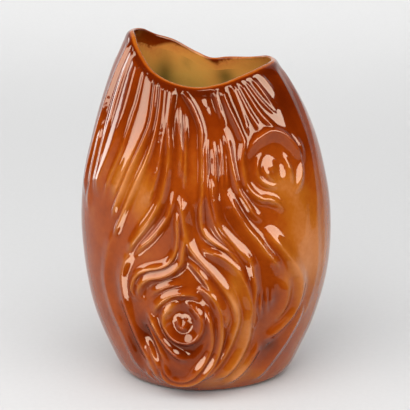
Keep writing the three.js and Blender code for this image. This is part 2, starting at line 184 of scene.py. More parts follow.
middleStrands = [
    (1.8, 2.2, 1.2, [(-12, 163), (-12, 150), (-11, 138), (-11, 124)]),
    (1.6, 1.4, 1.2, [(-9, 160), (-9, 145), (-9, 130), (-9, 118)]),
    (2.2, 1.4, 2.0, [(-8, 167), (-4, 160), (-1, 150), (-1, 140), (-1, 130), (-1, 118), (-2, 109), (-2, 101),
                     (0, 95), (4, 91), (9, 87), (13, 81), (16, 75)]),
    (3.1, 5.0, 3.0, [(-4, 90), (0, 87), (5, 85), (9, 82), (13, 77), (16, 70), (18, 63), (20, 55), (20, 46),
                     (20, 36), (17, 26), (11, 18), (3, 12)]),
    (-1.2, 4.5, 4.5, [(5, 172), (5, 162), (5, 154)]),
    (2.0, 2.4, 1.2, [(3, 147), (1, 141), (1, 130), (1, 120), (2, 110), (4, 101), (7, 94), (11, 88),
                     (15, 80)]),
    (1.9, 3.0, 1.0, [(5, 146), (5, 130), (5, 115)]),
    (2.4, 2.4, 3.2, [(3, 131), (3, 117), (4, 109), (5, 102), (8, 96), (12, 90), (16, 84), (19, 77)]),
    (1.5, 1.7, 1.0, [(8, 148), (8, 135), (8, 116)]),
    (1.4, 1.5, 1.3, [(10, 146), (10, 134), (10, 116)]),
    (2.2, 2.2, 2.6, [(11, 152), (12, 141), (13, 130), (15, 119), (18, 112), (21, 106), (26, 101)]),
    (2.9, 4.5, 3.0, [(10, 120), (12, 111), (15, 104), (18, 98), (22, 92), (26, 85), (30, 79), (33, 72)]),
    (2.6, 3.0, 2.4, [(12, 92), (16, 86), (19, 80), (20, 73), (21, 66), (21, 58), (22, 48), (22, 38)]),
    (2.2, 2.5, 2.8, [(14, 173), (15, 163), (17, 155), (19, 148), (20, 142), (18, 135), (18, 128), (19, 121),
                     (22, 116), (26, 113), (30, 112), (34, 109), (36, 104)]),
    (1.8, 1.8, 2.0, [(10, 172), (10, 163), (11, 155), (12, 150)]),
]

upperKnotStrands = [
    (1.3, 1.8, 2.4, [(21, 178), (23, 156), (23, 148), (23, 141)]),
    (1.3, 1.8, 2.4, [(23, 178), (26, 160), (29, 152), (32, 145)]),
    (1.4, 1.8, 2.8, [(26, 178), (31, 162), (34, 155), (39, 149), (44, 145)]),
    (1.1, 1.6, 1.4, [(30, 180), (36, 165), (41, 158), (46, 154)]),
    (1.2, 1.6, 2.0, [(36, 180), (42, 165), (46, 156)]),
    (1.3, 2.0, 1.8, [(46, 177), (50, 170), (53, 164)]),
    (2.2, 5.0, 2.2, [(21, 132), (22, 138), (25, 142), (30, 145), (37, 147), (44, 145), (49, 140), (52, 134),
                     (53, 126)]),
    (1.1, 1.6, 1.6, [(30, 138), (26, 133), (25, 127), (27, 122), (32, 119), (37, 119)]),
    (1.3, 1.6, 1.8, [(29, 132), (29, 127), (32, 123), (36, 122)]),
    (1.6, 2.0, 2.2, [(41, 137), (43, 130), (44, 123), (45, 117)]),
    (1.5, 2.6, 2.0, [(53, 134), (52, 125), (49, 118), (44, 113)]),
    (1.2, 2.2, 3.0, [(51, 146), (55, 138), (57, 127)]),
    (0.8, 4.5, 4.5, [(69, 177), (66, 167), (64, 154), (64, 140), (63, 126), (61, 110), (58, 91), (58, 68),
                     (57, 51), (55, 36)]),
    (0.5, 6.0, 6.0, [(88, 172), (81, 162), (75, 148), (70, 130), (68, 111), (66, 89), (65, 66), (63, 49)]),
]

lowerRightStrands = [
    (2.0, 1.5, 1.6, [(24, 67), (24, 57), (26, 46)]),
    (1.9, 1.3, 1.6, [(26, 67), (27, 57), (29, 48)]),
    (1.8, 1.5, 2.6, [(29, 66), (29, 57), (31, 51)]),
    (2.0, 4.0, 3.5, [(35, 73), (37, 65), (38, 57), (37, 50), (34, 42)]),
    (2.8, 3.5, 4.5, [(26, 98), (31, 90), (37, 81), (42, 73), (45, 66), (46, 57), (45, 48), (40, 41),
                     (34, 36), (28, 31)]),
    (2.5, 3.5, 3.5, [(27, 36), (26, 27), (22, 19), (17, 13), (9, 6)]),
    (2.1, 4.0, 4.5, [(52, 54), (50, 41), (46, 30), (40, 19), (33, 9), (28, 4)]),
    (-1.0, 1.6, 1.6, [(39, 31), (35, 28), (31, 25)]),
    (-1.1, 3.5, 3.5, [(39, 73), (43, 64)]),
]

lowerKnotStrands = [
    (3.1, 2.8, 3.2, [(-11, 118), (-10, 106), (-9, 97), (-7, 89), (-2, 81), (3, 74), (8, 66), (12, 58),
                     (14, 50), (13, 42), (11, 34), (7, 26), (1, 19), (-5, 13)]),
    (3.1, 2.0, 4.2, [(-9, 82), (-5, 78), (-1, 72), (2, 65), (5, 59), (8, 51), (9, 40)]),
    (3.8, 3.4, 2.0, [(-6, 64), (-1, 66), (3, 62), (6, 55), (7, 46), (7, 37), (5, 28), (0, 20), (-7, 13),
                     (-14, 11), (-20, 12), (-23, 17), (-24, 24)]),
    (2.8, 2.8, 1.6, [(-1, 58), (2, 48), (3, 37), (1, 29), (-4, 21), (-9, 16), (-14, 14), (-18, 15),
                     (-21, 20), (-21, 27)]),
    (3.1, 2.6, 1.6, [(-11, 112), (-12, 102), (-12, 93), (-13, 86), (-16, 80), (-20, 77), (-26, 75),
                     (-31, 72), (-34, 67), (-35, 61), (-32, 55)]),
    (3.4, 4.0, 2.2, [(-10, 102), (-9, 93), (-10, 86), (-11, 80), (-15, 75), (-20, 72), (-26, 70), (-30, 66),
                     (-32, 60), (-30, 56)]),
    (2.2, 2.0, 2.4, [(-27, 58), (-24, 62), (-19, 66), (-14, 68), (-8, 68)]),
    (2.8, 2.2, 3.5, [(-24, 46), (-24, 52), (-21, 57), (-17, 61), (-12, 63), (-6, 63), (-2, 60)]),
    (3.0, 3.4, 2.4, [(-11, 58), (-5, 55), (-2, 49), (-3, 42), (-8, 37), (-15, 38), (-19, 44), (-19, 51),
                     (-15, 56), (-11, 58)]),
    (2.2, 2.4, 2.6, [(-11, 51), (-9, 48), (-11, 44), (-13, 48), (-11, 51)]),
    (3.4, 3.0, 2.6, [(-28, 54), (-25, 46), (-22, 39), (-18, 33), (-13, 29), (-9, 28), (-6, 31)]),
    (1.0, 2.0, 2.0, [(2, 50), (1, 41), (-1, 34), (-5, 28), (-10, 25)]),
    (2.2, 2.0, 2.6, [(-29, 47), (-26, 39), (-23, 31), (-21, 25), (-17, 22)]),
    (2.0, 2.0, 2.2, [(-32, 35), (-28, 27), (-25, 20), (-23, 13)]),
    (-2.0, 3.2, 3.2, [(-33, 45), (-30, 38), (-27, 30), (-23, 24)]),
    (2.0, 2.5, 1.6, [(-34, 19), (-34, 12), (-33, 6)]),
    (2.0, 3.0, 1.6, [(-29, 23), (-28, 14), (-28, 6)]),
]

# broad swells and hollows: angle, height, spread round, spread up, how far out
swells = [
    (-9, 17, 27, 13, 8), (-4, 44, 25, 22, 6), (-11, 50, 10, 10, -3.5), (34, 74, 26, 24, 4.5),
    (34, 131, 15, 15, 1.4), (38, 131, 8, 8, -1.8), (33, 129, 4, 4, 1.2), (-4, 100, 5, 8, -1.5),
    (5, 108, 12, 20, 2.4),
]

# where the glaze ran thin and amber (above 0) or stayed thick and dark (below 0): angle, height,
# spread round, spread up, amount
glazeTones = [
    (0, 165, 60, 18, -0.5), (-41, 118, 9, 20, 0.6), (-29, 112, 6, 22, 0.5), (-4, 128, 3, 22, 0.15),
    (12, 66, 4, 16, 0.6), (40, 118, 14, 10, 0.45), (48, 84, 15, 30, 0.75), (-62, 62, 16, 40, 0.1),
    (28, 56, 7, 14, -0.3), (38, 22, 12, 12, -0.3), (18, 34, 6, 22, 0.55), (-10, 42, 14, 18, -0.15),
    (56, 152, 12, 24, -0.45), (72, 60, 16, 60, 0.4), (-17, 54, 4, 8, 0.5), (20, 150, 14, 14, -0.3),
    (-31, 39, 4, 8, -0.8), (-40, 26, 5, 14, -0.6), (-10, 33, 8, 6, -0.7), (-14, 19, 9, 4, -0.3),
    (35, 28, 5, 4, -0.6), (12, 12, 22, 8, 0.4),
]

backGrain = {
    "knots": [(-158, 118, 15), (146, 58, 17)],  # angle, height, size in mm
    "knotWidth": 0.75,  # part of its height
    "knotRings": (0.45, 0.85),  # parts of its size
    "ringFlank": 3,
    "ringStep": 30,  # degrees between the points of a ring
    "strandCount": 13,
    "strandHeight": 1.9,
    "strandFlanks": (3.6, 3.2),
    "heightSwing": 0.25,  # part of the height that strands differ by
    "heightShift": 2.3,
    "outerHeight": 0.4,  # part of the height that the first and the last strand keep
    "start": 100,  # degrees, just behind the right side
    "sweep": 160,
    "pointHeights": (178, 11, -12),  # highest, end, step
    "waves": [(3, 21, 1.9), (2, 9, 1)],  # degrees to each side, mm per radian, shift from strand to strand
    "parting": 9,  # degrees that a knot pushes the strands aside
    "partingReach": 10,
}


def backStrands():
    # long wavy strands that part round two plain knots
    made = []
    last = backGrain["strandCount"] - 1
    for k in range(last + 1):
        path = []
        for z in range(*backGrain["pointHeights"]):
            degrees = backGrain["start"] + backGrain["sweep"] * k / last
            for swing, length, shift in backGrain["waves"]:
                degrees += swing * math.sin(z / length + shift * k)
            for knotAngle, knotHeight, size in backGrain["knots"]:
                aside = degrees - knotAngle % 360
                far = math.hypot(aside / backGrain["partingReach"], (z - knotHeight) / size)
                degrees += math.copysign(backGrain["parting"], aside) * math.exp(-far * far)
            path.append((degrees, z))
        uneven = backGrain["heightSwing"]
        height = backGrain["strandHeight"] * (1 - uneven + uneven * math.sin(backGrain["heightShift"] * k))
        if k in (0, last):
            height *= backGrain["outerHeight"]
        made.append((height, *backGrain["strandFlanks"], path))
    for knotAngle, knotHeight, size in backGrain["knots"]:
        for ring in backGrain["knotRings"]:
            path = []
            for turn in range(0, 361, backGrain["ringStep"]):
                across = ring * size * backGrain["knotWidth"] * math.sin(math.radians(turn))
                up = ring * size * math.cos(math.radians(turn))
                path.append((knotAngle % 360 + across, knotHeight + up))
            made.append((backGrain["strandHeight"], backGrain["ringFlank"], backGrain["ringFlank"], path))
    return made


def smoothLine(points, steps=4):
    # a smooth curve through the points, each stretch cut into a few steps
    p = np.array(points, float)
    p = np.vstack([2 * p[0] - p[1], p, 2 * p[-1] - p[-2]])
    line = []
    for i in range(1, len(p) - 2):
        for t in np.arange(steps) / steps:
            a = p[i + 1] - p[i - 1]
            b = p[i + 2] - p[i]
            line.append((1 + 2 * t) * (1 - t) ** 2 * p[i] + t * (1 - t) ** 2 * a / 2
                        + t * t * (3 - 2 * t) * p[i + 1] + t * t * (t - 1) * b / 2)
    line.append(p[-2])
    return np.array(line)


def strandHeight(strand, degrees, z, roundScale):
    # highest on its line, falls away evenly on both sides, and fades out at its ends, but not under the lip
    height, left, right, path = strand
    line = smoothLine(path)
    reach = carving["reach"] * max(left, right)
    middle = line[:, 0].mean()
    turn = wrapped(degrees - middle) + middle
    near = (z > line[:, 1].min() - reach) & (z < line[:, 1].max() + reach)
    near &= turn > line[:, 0].min() - reach / roundScale
    near &= turn < line[:, 0].max() + reach / roundScale
    result = np.zeros(len(z))
    if not near.any():
        return result
    u, v, scale = turn[near], z[near], roundScale[near]
    nearest = np.full(len(u), np.inf)
    side = np.zeros(len(u))
    along = np.zeros(len(u))
    run = 0
    for i in range(len(line) - 1):
        across = (line[i + 1, 0] - line[i, 0]) * scale
        rise = line[i + 1, 1] - line[i, 1]
        du, dv = (u - line[i, 0]) * scale, v - line[i, 1]
        t = np.clip((du * across + dv * rise) / (across ** 2 + rise ** 2), 0, 1)
        away = np.hypot(du - t * across, dv - t * rise)
        closer = away < nearest
        nearest = np.where(closer, away, nearest)
        side = np.where(closer, across * dv - rise * du, side)
        length = np.hypot(across, rise)
        along = np.where(closer, run + t * length, along)
        run = run + length
    spread = np.where(side < 0, left, right)
    toEnd = run - along
    if path[0][1] <= carving["lipStart"]:
        toEnd = np.minimum(along, toEnd)
    ends = smoothStep(toEnd, *carving["endFade"])
    rounding, soft = carving["crestRounding"], carving["flankFoot"]
    fall = (np.hypot(nearest, rounding) - rounding) / spread
    result[near] = abs(height) * ends * np.log1p(np.exp(soft - soft * fall)) / soft  # straight, softly ended
    return result


def patches(rows, degrees, z):
    # sum of soft patches at every point
    roundScale = mmPerDegree(degrees, z)
    total = np.zeros(len(z))
    for middle, middleHeight, spreadRound, spreadUp, amount in rows:
        across = wrapped(degrees - middle) * roundScale / spreadRound
        up = (z - middleHeight) / spreadUp
        total += amount * np.exp(-across ** 2 - up ** 2)
    return total


def softened(values, rounds):
    # evens out a grid of values that closes round the vase and ends at foot and lip
    for _ in range(rounds):
        values = (np.roll(values, 1, 1) + 2 * values + np.roll(values, -1, 1)) / 4
        edge = np.pad(values, ((1, 1), (0, 0)), mode="edge")
        values = (edge[:-2] + 2 * edge[1:-1] + edge[2:]) / 4
    return values


def grainHeight(degrees, z):
    # where strands meet the higher one wins
    roundScale = mmPerDegree(degrees, z)
    raised = np.ones(len(z))
    sunk = np.ones(len(z))
    frontStrands = shoulderStrands + middleStrands + upperKnotStrands + lowerRightStrands + lowerKnotStrands
    for strand in frontStrands + backStrands():
        lifted = np.exp(carving["meeting"] * strandHeight(strand, degrees, z, roundScale)) - 1
        if strand[0] > 0:
            raised += lifted
        else:
            sunk += lifted
    grain = (np.log(raised) - np.log(sunk)) / carving["meeting"]
    swell = patches(swells, degrees, z)
    fadeLow = smoothStep(z, *carving["footFade"])
    fadeHigh = smoothStep(lipHeight(degrees) - z, *carving["lipFade"])
    relief = fadeHigh * (fadeLow * (carving["relief"] * grain - carving["ground"]) + swell)
    sharp = carving["deepestSharpness"]
    return np.logaddexp(sharp * relief, sharp * carving["deepest"]) / sharp


hollow = {
    "floorTop": 8.3,
    "floorInset": 2.7,  # from the foot's outline to where the wall's inside meets the floor
    "floorCurve": 4,  # the wall's lowest row inside lies this far above the floor
    "linerBelowLip": 3.5,  # where the ochre glaze coat ends
    "linerThickness": 0.9,
    "linerEdge": 0.06,  # its thickness where it runs out
    "linerEdgeRows": 12,
    "linerGap": 0.02,  # between the coat and the wall behind it
    "creaseAngle": 50,  # degrees; a sharper bend stays an edge
    "rimTone": -0.7,  # the glaze is darker round the lip
    "rimDepth": 7,
    "thinEdgeAndHighlight": 1.1,  # lighter on the very edge: partly the glaze running thin, partly a painted highlight along the lip
    "edgeDepth": (0.9, 0.2),  # mm below the lip, from where it begins to where it is full
    # how far the rust glaze of the lip runs down inside: angle, mm
    "rustOverlap": [
        (-180, 0), (-160, 2), (-143, 6.5), (-118, 8), (-92, 5), (-60, 1), (0, 0), (150, 0), (158, 0.3),
        (163, 1.2), (167, 2.4), (171, 1), (176, 0),
    ],
    # painted shade, dark patches on the far inner wall: angle, height, spread round, spread up, amount
    "paintedShades": [(-155, 162, 6, 14, 1), (163, 162, 6, 8, 1), (-172, 172, 3, 3, 0.5)],
    "rows": 44,
    "columns": 200,
}

foot = {
    "width": 76,
    "depth": 55,
    "height": 3,
    "ringWidth": 7,
    "edgeRadius": 0.9,
    "edgeSteps": 5,
    "columns": 180,
    "wallGap": 0.3,  # between the ring and the glazed wall round it
}


def footPoint(degrees, inset, z):
    angle = np.radians(degrees)
    across = (foot["width"] / 2 - inset) * np.sin(angle)
    return np.stack([across, -(foot["depth"] / 2 - inset) * np.cos(angle), np.full(len(angle), float(z))], -1)


def innerRow(degrees, row, extra):
    # row 0 lies at the floor, the last one just under the lip; extra moves it further into the hollow
    if row == 0:
        return footPoint(degrees, hollow["floorInset"] + extra, hollow["floorTop"] + extra)
    highest = lipHeight(degrees) - hollow["linerBelowLip"]
    lowest = hollow["floorTop"] + hollow["floorCurve"]
    z = lowest + (highest - lowest) * (row - 1) / (hollow["rows"] - 1)
    nearLip = smoothStep(z, highest - body["lipTaper"], highest)
    thickness = body["wallThickness"] + (body["lipThickness"] - body["wallThickness"]) * nearLip
    return bodyPoint(degrees, z, thickness + extra)


def rustEnd(degrees):
    # the height inside the mouth at which the rust glaze ends
    return lipHeight(degrees) - smoothAt(hollow["rustOverlap"], wrapped(degrees))


def addObject(name, data):
    made = bpy.data.objects.new(name, data)
    bpy.context.scene.collection.objects.link(made)
    return made


def meshPiece(name, loops, wrapLoops, capEnds=False, attributes=None):
    # loops is (loop, point, xyz) in mm about the foot's middle; each loop joins the next one, and the last
    # joins the first where wrapLoops is True
    count, loop = loops.shape[:2]
    points = loops.reshape(-1, 3) / 1000
    points[:, 0] += footMiddle[0] / 1000
    points[:, 1] += footMiddle[1] / 1000
    rows = np.arange(count if wrapLoops else count - 1)
    i, j = np.meshgrid(rows, np.arange(loop), indexing="ij")
    a, b = i * loop + j, i * loop + (j + 1) % loop
    c, d = ((i + 1) % count) * loop + (j + 1) % loop, ((i + 1) % count) * loop + j
    faces = np.stack([a, b, c, d], -1).reshape(-1, 4)
    mesh = bpy.data.meshes.new(name)
    polygons = [tuple(f) for f in faces.tolist()]
    if capEnds:
        polygons.append(tuple(range(loop - 1, -1, -1)))
        polygons.append(tuple(range((count - 1) * loop, count * loop)))
    mesh.from_pydata([tuple(p) for p in points.tolist()], [], polygons)
    for key, values in (attributes or {}).items():
        layer = mesh.attributes.new(key, "FLOAT", "POINT")
        layer.data.foreach_set("value", np.ascontiguousarray(values, np.float32).ravel())
    mesh.polygons.foreach_set("use_smooth", np.ones(len(mesh.polygons), bool))
    mesh.update()
    return addObject(name, mesh)


def glazedWall():
    # one loop of points at each angle: up the outside, over the lip, down the inside and round the foot
    front = np.linspace(-90, 90, body["frontColumns"], endpoint=False)
    back = np.linspace(90, 270, body["backColumns"], endpoint=False)
    degrees = np.concatenate([front, back])
    lipRadius = body["lipThickness"] / 2
    outerTop = lipHeight(degrees) - lipRadius
    part = np.linspace(0, 1, body["rows"] + 1)
    turn = np.repeat(degrees, len(part))
    z = (body["bottomHeight"] + (outerTop[:, None] - body["bottomHeight"]) * part[None, :]).ravel()
    relief = grainHeight(turn, z)
    outside = bodyPoint(turn, z) + bodyNormal(turn, z) * relief[:, None]
    outside[:, 2] = np.maximum(outside[:, 2], body["bottomHeight"])
    outside = outside.reshape(len(degrees), -1, 3)
    lip = []
    for i in range(1, body["lipRows"] + 1):
        around = math.pi * i / body["lipRows"]
        height = outerTop + lipRadius * math.sin(around)
        lip.append(bodyPoint(degrees, height, lipRadius * (1 - math.cos(around))))
    # the same rows as the liner has, so that the liner lies in front of the wall everywhere
    inner = [innerRow(degrees, row, 0) for row in reversed(range(hollow["rows"]))]
    gap = foot["wallGap"]
    ledge = foot["height"] + gap
    corners = [(hollow["floorInset"], ledge), (-gap, ledge), (-gap, body["bottomHeight"])]
    under = [footPoint(degrees, inset, height) for inset, height in corners]
    loops = np.concatenate([outside, np.stack(lip + inner + under, 1)], 1)

    # what the glaze needs to know at each point
    grid = relief.reshape(len(degrees), -1)
    rows = grid.shape[1]
    crest = np.zeros(loops.shape[:2])
    crest[:, :rows] = grid - softened(grid.T, carving["evening"]).T
    tone = np.zeros(loops.shape[:2])
    tone[:, :rows] = patches(glazeTones, turn, z).reshape(grid.shape)
    belowLip = lipHeight(degrees)[:, None] - loops[:, :, 2]
    tone += hollow["rimTone"] * smoothStep(belowLip, hollow["rimDepth"], 0)
    # painted highlight along the lip's edge, where the glaze also runs thin
    tone += hollow["thinEdgeAndHighlight"] * smoothStep(belowLip, *hollow["edgeDepth"])
    farOutside = -9.0  # mm; rust glaze covers it for certain
    inward = np.full(loops.shape[:2], farOutside)
    past = rows + body["lipRows"] // 2
    inward[:, past:] = rustEnd(degrees)[:, None] - loops[:, past:, 2]
    print("wall grid", loops.shape[:2], "relief", round(float(grid.min()), 2), "to",
          round(float(grid.max()), 2), "mm")
    return meshPiece("glazed_wall", loops, True, attributes={"crest": crest, "tone": tone, "inward": inward})


def glazedLiner():
    # one loop at each row: down the side that shows, then up the side that lies against the wall
    degrees = np.linspace(0, 360, hollow["columns"], endpoint=False)
    rows = range(hollow["rows"])
    inside = []
    for row in rows:
        # thin at its upper edge, so that it runs out on the wall as glaze does
        nearEdge = min((rows[-1] - row) / hollow["linerEdgeRows"], 1)
        inside.append(innerRow(degrees, row, hollow["linerEdge"] + hollow["linerThickness"] * nearEdge))
    outside = [innerRow(degrees, row, hollow["linerGap"]) for row in reversed(rows)]
    loops = np.stack(inside + outside, 0)
    heights = loops[:, :, 2]
    values = {
        "below": rustEnd(degrees)[None, :] - heights,
        # where painted shade darkens the far inner wall
        "paintedShade": patches(hollow["paintedShades"], np.tile(degrees, len(loops)), heights.ravel()),
    }
    piece = meshPiece("glazed_liner", loops, False, capEnds=True, attributes=values)
    piece.data.set_sharp_from_angle(angle=math.radians(hollow["creaseAngle"]))
    return piece


def footRing():
    # elliptical ring with rounded edges
    degrees = np.linspace(0, 360, foot["columns"], endpoint=False)
    radius = foot["edgeRadius"]
    inner, top = foot["ringWidth"] - radius, foot["height"] - radius
    section = []
    corners = [(inner, radius, 0), (inner, top, 90), (radius, top, 180), (radius, radius, 270)]
    for inset, height, start in corners:
        for step in range(foot["edgeSteps"] + 1):
            around = math.radians(start + 90 * step / foot["edgeSteps"])
            section.append((inset + radius * math.sin(around), height - radius * math.cos(around)))
    loops = np.stack([footPoint(degrees, inset, height) for inset, height in section], 0)
    return meshPiece("foot_rim", loops, True)


wall = glazedWall()
liner = glazedLiner()
ring = footRing()
print("meshes made:", len(wall.data.polygons), len(liner.data.polygons), len(ring.data.polygons), "faces")


def linear(hexColour):
    # sRGB hex to the linear colour that Blender works in
    channels = [int(hexColour[i:i + 2], 16) / 255 for i in (1, 3, 5)]
    return [c / 12.92 if c <= 0.04045 else ((c + 0.055) / 1.055) ** 2.4 for c in channels] + [1]


def addNode(material, kind, settings=None, inputs=None, stops=None):
    # adds a node, sets it up and links or sets its inputs; stops are a colour ramp's places and colours
    node = material.node_tree.nodes.new(kind)
    for key, value in (settings or {}).items():
        setattr(node, key, value)
    for key, value in (inputs or {}).items():
        if isinstance(value, bpy.types.NodeSocket):
            material.node_tree.links.new(value, node.inputs[key])
        else:
            node.inputs[key].default_value = value
    if stops:
        elements = node.color_ramp.elements
        while len(elements) < len(stops):
            elements.new(0.5)
        for element, (place, colour) in zip(elements, stops):
            element.position = place
            element.color = linear(colour)
    return node


def newMaterial(name, display):
    material = bpy.data.materials.new(name)
    material.use_nodes = True
    material.node_tree.nodes.clear()
    material.diffuse_color = linear(display)
    return material


rustLook = {
    "hollow": "#561802",
    "dark": "#732703",
    "body": "#8B3908",
    "amber": "#9E5414",
    "edge": "#BA7440",
    "shine": "#FFE2C4",
    "roughness": 0.035,
    "ior": 1.52,
    "crestHeight": 1.5,  # mm; a crest this high is thin and amber, a groove as deep is dark
    "crestRange": (0.02, 0.88),  # where such a groove and such a crest fall on the colour ramp
    "toneAmount": 0.6,  # how much the painted tones count
    "cloudSize": 22,  # mm, slow changes in thickness
    "cloudAmount": 0.5,
    "mottleSize": 2.4,  # fine speckle where the clay shows through
    "mottleAmount": 0.16,
    "rippleSize": 7,  # the glaze's own slow waves
    "rippleStrength": 0.16,
    "rippleHeight": 0.3,  # mm
    "raggedness": 4,  # mm that the clouds move the glaze's end inside the mouth
    "endsOver": (1.6, 4.4),  # mm past that end, from rust to ochre
}

ochreLook = {
    "overlap": "#7A2C06",  # where the rust glaze of the lip runs over it
    "rim": "#CC7E3A",
    "light": "#D89242",
    "body": "#CC9A48",
    "dark": "#8E7C34",
    # painted shade on the far inner wall: its dark colour and how strongly it shows
    "paintedShade": "#54481C",
    "paintedShadeAmount": 0.8,
    "roughness": 0.12,
    "ior": 1.5,
    "darkestDepth": 50,  # mm below the lip where it is darkest
    "cloudSize": 14,
    "cloudAmount": 0.35,
    "mottleSize": 1.6,
    "mottleAmount": 0.12,
    "evening": 0.19,  # takes back what clouds and mottling add on average
    "waveStrength": 0.3,
    "waveHeight": 2,  # mm
}

clayLook = {
    "body": "#C98D62",
    "dark": "#A8704A",
    "roughness": 0.85,
    "ior": 1.5,
    "gritSize": 0.9,  # mm, fine sand
    "gritStrength": 0.4,
    "gritHeight": 0.3,  # mm
}


def ochreColour(material, place, below):
    # ochre near the lip, darker and more olive deeper down the mouth
    cloud = addNode(material, "ShaderNodeTexNoise", inputs={
        "Vector": place.outputs["Object"], "Scale": 1000 / ochreLook["cloudSize"], "Detail": 4})
    mottle = addNode(material, "ShaderNodeTexNoise", inputs={
        "Vector": place.outputs["Object"], "Scale": 1000 / ochreLook["mottleSize"], "Detail": 3})
    deep = addNode(material, "ShaderNodeMapRange", {"clamp": False}, {
        "Value": below.outputs["Fac"], "From Min": 0, "From Max": ochreLook["darkestDepth"],
        "To Min": 0, "To Max": 1})
    clouded = addNode(material, "ShaderNodeMath", {"operation": "MULTIPLY_ADD"}, {
        0: cloud.outputs["Fac"], 1: ochreLook["cloudAmount"], 2: deep.outputs["Result"]})
    summed = addNode(material, "ShaderNodeMath", {"operation": "MULTIPLY_ADD"}, {
        0: mottle.outputs["Fac"], 1: ochreLook["mottleAmount"], 2: clouded.outputs["Value"]})
    even = addNode(material, "ShaderNodeMath", {"operation": "SUBTRACT", "use_clamp": True}, {
        0: summed.outputs["Value"], 1: ochreLook["evening"]})
    ramp = addNode(material, "ShaderNodeValToRGB", inputs={"Fac": even.outputs["Value"]}, stops=[
        (0.0, ochreLook["overlap"]), (0.05, ochreLook["rim"]), (0.16, ochreLook["light"]),
        (0.45, ochreLook["body"]), (1.0, ochreLook["dark"])])
    return ramp, cloud


def rustGlazedEarthenware():
    # Iron glaze over moulded earthenware, fired glossy: it runs off the crests, where it goes thin and amber,
    # and pools dark in the grooves. The clear glassy skin gives sharp window-like reflections.
    material = newMaterial("rust_glazed_earthenware", rustLook["body"])
    crest = addNode(material, "ShaderNodeAttribute", {"attribute_name": "crest"})
    tone = addNode(material, "ShaderNodeAttribute", {"attribute_name": "tone"})
    inward = addNode(material, "ShaderNodeAttribute", {"attribute_name": "inward"})
    place = addNode(material, "ShaderNodeTexCoord")
    cloud = addNode(material, "ShaderNodeTexNoise", inputs={
        "Vector": place.outputs["Object"], "Scale": 1000 / rustLook["cloudSize"], "Detail": 4,
        "Roughness": 0.55})
    mottle = addNode(material, "ShaderNodeTexNoise", inputs={
        "Vector": place.outputs["Object"], "Scale": 1000 / rustLook["mottleSize"], "Detail": 3,
        "Roughness": 0.6})
    low, high = rustLook["crestRange"]
    lifted = addNode(material, "ShaderNodeMapRange", inputs={
        "Value": crest.outputs["Fac"], "From Min": -rustLook["crestHeight"],
        "From Max": rustLook["crestHeight"], "To Min": low, "To Max": high})
    toned = addNode(material, "ShaderNodeMath", {"operation": "MULTIPLY_ADD"}, {
        0: tone.outputs["Fac"], 1: rustLook["toneAmount"], 2: lifted.outputs["Result"]})
    clouds = addNode(material, "ShaderNodeMath", {"operation": "MULTIPLY_ADD"}, {
        0: cloud.outputs["Fac"], 1: rustLook["cloudAmount"], 2: -rustLook["cloudAmount"] / 2})
    summed = addNode(material, "ShaderNodeMath", {"operation": "ADD"}, {
        0: toned.outputs["Value"], 1: clouds.outputs["Value"]})
    mottling = addNode(material, "ShaderNodeMath", {"operation": "MULTIPLY_ADD"}, {
        0: mottle.outputs["Fac"], 1: rustLook["mottleAmount"], 2: -rustLook["mottleAmount"] / 2})
    thin = addNode(material, "ShaderNodeMath", {"operation": "ADD", "use_clamp": True}, {
        0: summed.outputs["Value"], 1: mottling.outputs["Value"]})
    colour = addNode(material, "ShaderNodeValToRGB", inputs={"Fac": thin.outputs["Value"]}, stops=[
        (0.0, rustLook["hollow"]), (0.3, rustLook["dark"]), (0.5, rustLook["body"]),
        (0.72, rustLook["amber"]), (1.0, rustLook["edge"])])
    # inside the mouth the rust glaze ends raggedly and the ochre one takes over
    ragged = addNode(material, "ShaderNodeMath", {"operation": "MULTIPLY_ADD"}, {
        0: cloud.outputs["Fac"], 1: rustLook["raggedness"], 2: inward.outputs["Fac"]})
    low, high = rustLook["endsOver"]
    within = addNode(material, "ShaderNodeMapRange", {"interpolation_type": "SMOOTHSTEP"}, {
        "Value": ragged.outputs["Value"], "From Min": low, "From Max": high, "To Min": 0, "To Max": 1})
    ochre = ochreColour(material, place, inward)[0]
    mixed = addNode(material, "ShaderNodeMix", {"data_type": "RGBA"}, {
        "Factor": within.outputs["Result"], "A": colour.outputs["Color"], "B": ochre.outputs["Color"]})
    ripple = addNode(material, "ShaderNodeTexNoise", inputs={
        "Vector": place.outputs["Object"], "Scale": 1000 / rustLook["rippleSize"], "Detail": 2})
    bump = addNode(material, "ShaderNodeBump", inputs={
        "Height": ripple.outputs["Fac"], "Strength": rustLook["rippleStrength"],
        "Distance": rustLook["rippleHeight"] / 1000})
    shader = addNode(material, "ShaderNodeBsdfPrincipled", inputs={
        "Base Color": mixed.outputs["Result"], "Roughness": rustLook["roughness"], "IOR": rustLook["ior"],
        "Specular Tint": linear(rustLook["shine"]), "Normal": bump.outputs["Normal"]})
    addNode(material, "ShaderNodeOutputMaterial", inputs={"Surface": shader.outputs["BSDF"]})
    return material


